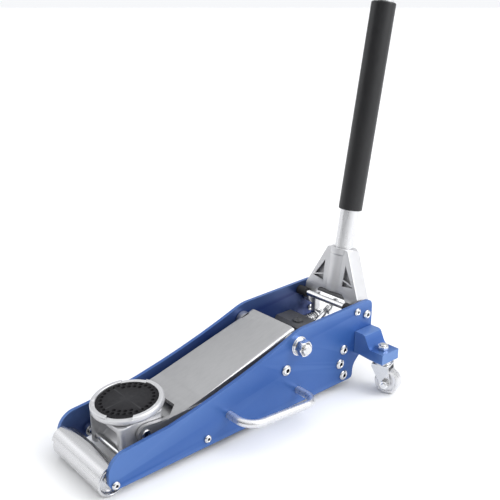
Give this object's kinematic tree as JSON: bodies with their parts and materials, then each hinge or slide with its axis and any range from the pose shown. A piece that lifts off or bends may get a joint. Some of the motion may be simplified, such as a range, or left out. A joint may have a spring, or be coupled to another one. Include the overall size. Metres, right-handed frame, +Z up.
{
  "type": "trolley jack",
  "caption": "Low-profile hydraulic trolley jack: blue side plates, levelled lift arm with padded swivel saddle, upright pump handle, front roller and rear swivel casters.",
  "frame": {"origin": "point on the floor below the middle of the bounding box", "axes": "+X to the rear, where the handle stands; +Z up; -Y is the left-hand side of an operator standing behind the handle"},
  "size_m": [0.6016, 0.2896, 0.6051],
  "materials": {
    "blue_paint": "satin powder coat",
    "satin_aluminium": "satin",
    "cast_aluminium": "cast and clear coated",
    "bright_steel": "zinc plated",
    "dark_steel": "dark satin paint",
    "black_rubber": "matt",
    "black_foam": "closed-cell foam, slight sheen"
  },
  "bodies": {
    "chassis": {"side_plate_left": "blue_paint", "side_plate_right": "blue_paint", "front_cover": "satin_aluminium", "front_axle": "bright_steel", "tie_rod": "bright_steel", "main_pivot_bolt": "bright_steel", "main_pivot_nut": "bright_steel", "stop_bar": "bright_steel", "stop_sleeve_left": "black_rubber", "stop_sleeve_right": "black_rubber", "carry_handle": "cast_aluminium", "pump_block": "dark_steel", "ram_cylinder": "dark_steel", "filler_plug": "dark_steel", "caster_bracket_left": "blue_paint", "caster_bracket_right": "blue_paint", "front_axle_screw_left": "bright_steel", "tie_rod_screw_left": "bright_steel", "link_bolt_left": "bright_steel", "yoke_bolt_left": "bright_steel", "front_axle_screw_right": "bright_steel", "tie_rod_screw_right": "bright_steel", "link_bolt_right": "bright_steel", "yoke_bolt_right": "bright_steel", "block_screw_left_1": "bright_steel", "block_screw_left_2": "bright_steel", "block_screw_left_3": "bright_steel", "block_screw_right_1": "bright_steel", "block_screw_right_2": "bright_steel", "block_screw_right_3": "bright_steel"},
    "roller": {"front_roller": "satin_aluminium"},
    "arm": {"lift_arm": "satin_aluminium", "nose_pin": "bright_steel"},
    "link_left": {"levelling_link_left": "bright_steel"},
    "link_right": {"levelling_link_right": "bright_steel"},
    "head": {"saddle_head": "cast_aluminium", "head_pin": "bright_steel"},
    "saddle": {"saddle_cup": "cast_aluminium", "saddle_pad": "black_rubber"},
    "ram": {"ram_rod": "bright_steel", "ram_pin": "bright_steel"},
    "valve": {"release_valve": "bright_steel"},
    "plunger_left": {"pump_plunger_left": "bright_steel"},
    "plunger_right": {"pump_plunger_right": "bright_steel"},
    "yoke": {"handle_yoke": "cast_aluminium", "clamp_screw": "bright_steel", "pump_follower_left": "bright_steel", "pump_follower_right": "bright_steel"},
    "handle": {"handle_tube": "cast_aluminium", "handle_grip": "black_foam", "handle_cap": "black_rubber", "valve_drive": "bright_steel"},
    "caster_left": {"caster_fork_left": "bright_steel", "caster_nut_left": "bright_steel", "caster_axle_left": "bright_steel"},
    "wheel_left": {"caster_wheel_left": "bright_steel"},
    "caster_right": {"caster_fork_right": "bright_steel", "caster_nut_right": "bright_steel", "caster_axle_right": "bright_steel"},
    "wheel_right": {"caster_wheel_right": "bright_steel"}
  },
  "joints": [
    {"name": "roller_spin", "type": "hinge", "parent": "chassis", "child": "roller", "pos_m": [-0.28, 0, 0.0205], "axis": [0, 1, 0], "continuous": true},
    {"name": "arm_lift", "type": "hinge", "parent": "chassis", "child": "arm", "pos_m": [0.0427, 0, 0.1105], "axis": [0, 1, 0], "range_deg": [0, 65.4]},
    {"name": "head_level", "type": "hinge", "parent": "arm", "child": "head", "pos_m": [-0.219, 0, 0.059], "axis": [0, 1, 0], "range_deg": [-65.4, 0]},
    {"name": "link_swing_left", "type": "hinge", "parent": "chassis", "child": "link_left", "pos_m": [0.017, -0.0565, 0.0783], "axis": [0, 1, 0], "range_deg": [0, 65.4]},
    {"name": "link_swing_right", "type": "hinge", "parent": "chassis", "child": "link_right", "pos_m": [0.017, 0.0565, 0.0783], "axis": [0, 1, 0], "range_deg": [0, 65.4]},
    {"name": "saddle_swivel", "type": "hinge", "parent": "head", "child": "saddle", "pos_m": [-0.2159, 0, 0.09], "axis": [-0.0872, 0, 0.9962], "continuous": true},
    {"name": "ram_stroke", "type": "slide", "parent": "chassis", "child": "ram", "axis": [-1, 0, 0], "range_m": [0, 0.0714]},
    {"name": "pump_stroke", "type": "hinge", "parent": "chassis", "child": "yoke", "pos_m": [0.1972, 0, 0.1169], "axis": [0, 1, 0], "range_deg": [0, 45], "stiffness_Nm_per_rad": 5, "springref_deg": -28.65},
    {"name": "plunger_stroke_left", "type": "slide", "parent": "chassis", "child": "plunger_left", "axis": [-1, 0, 0], "range_m": [0, 0.0234]},
    {"name": "plunger_stroke_right", "type": "slide", "parent": "chassis", "child": "plunger_right", "axis": [-1, 0, 0], "range_m": [0, 0.0234]},
    {"name": "handle_twist", "type": "hinge", "parent": "yoke", "child": "handle", "pos_m": [0.1972, 0, 0.1169], "axis": [0.1736, 0, 0.9848], "range_deg": [0, 180]},
    {"name": "valve_turn", "type": "hinge", "parent": "chassis", "child": "valve", "pos_m": [0.1972, 0, 0.1169], "axis": [0.8737, 0, 0.4865], "range_deg": [0, 180]},
    {"name": "caster_swivel_left", "type": "hinge", "parent": "chassis", "child": "caster_left", "pos_m": [0.1905, -0.112, 0.05], "axis": [0, 0, 1], "continuous": true},
    {"name": "wheel_spin_left", "type": "hinge", "parent": "caster_left", "child": "wheel_left", "pos_m": [0.19421, -0.12341, 0.02], "axis": [0.9511, 0.309, 0], "continuous": true},
    {"name": "caster_swivel_right", "type": "hinge", "parent": "chassis", "child": "caster_right", "pos_m": [0.1905, 0.112, 0.05], "axis": [0, 0, 1], "continuous": true},
    {"name": "wheel_spin_right", "type": "hinge", "parent": "caster_right", "child": "wheel_right", "pos_m": [0.19421, 0.12341, 0.02], "axis": [-0.9511, 0.309, 0], "continuous": true}
  ],
  "couplings": [
    {"joint": "head_level", "follows": "arm_lift", "ratio": -1},
    {"joint": "link_swing_left", "follows": "arm_lift", "ratio": 1},
    {"joint": "link_swing_right", "follows": "arm_lift", "ratio": 1},
    {"joint": "ram_stroke", "follows": "arm_lift", "m_per_rad": 0.06243},
    {"joint": "plunger_stroke_left", "follows": "pump_stroke", "m_per_rad": 0.02971},
    {"joint": "plunger_stroke_right", "follows": "pump_stroke", "m_per_rad": 0.02971},
    {"joint": "valve_turn", "follows": "handle_twist", "ratio": 1}
  ]
}
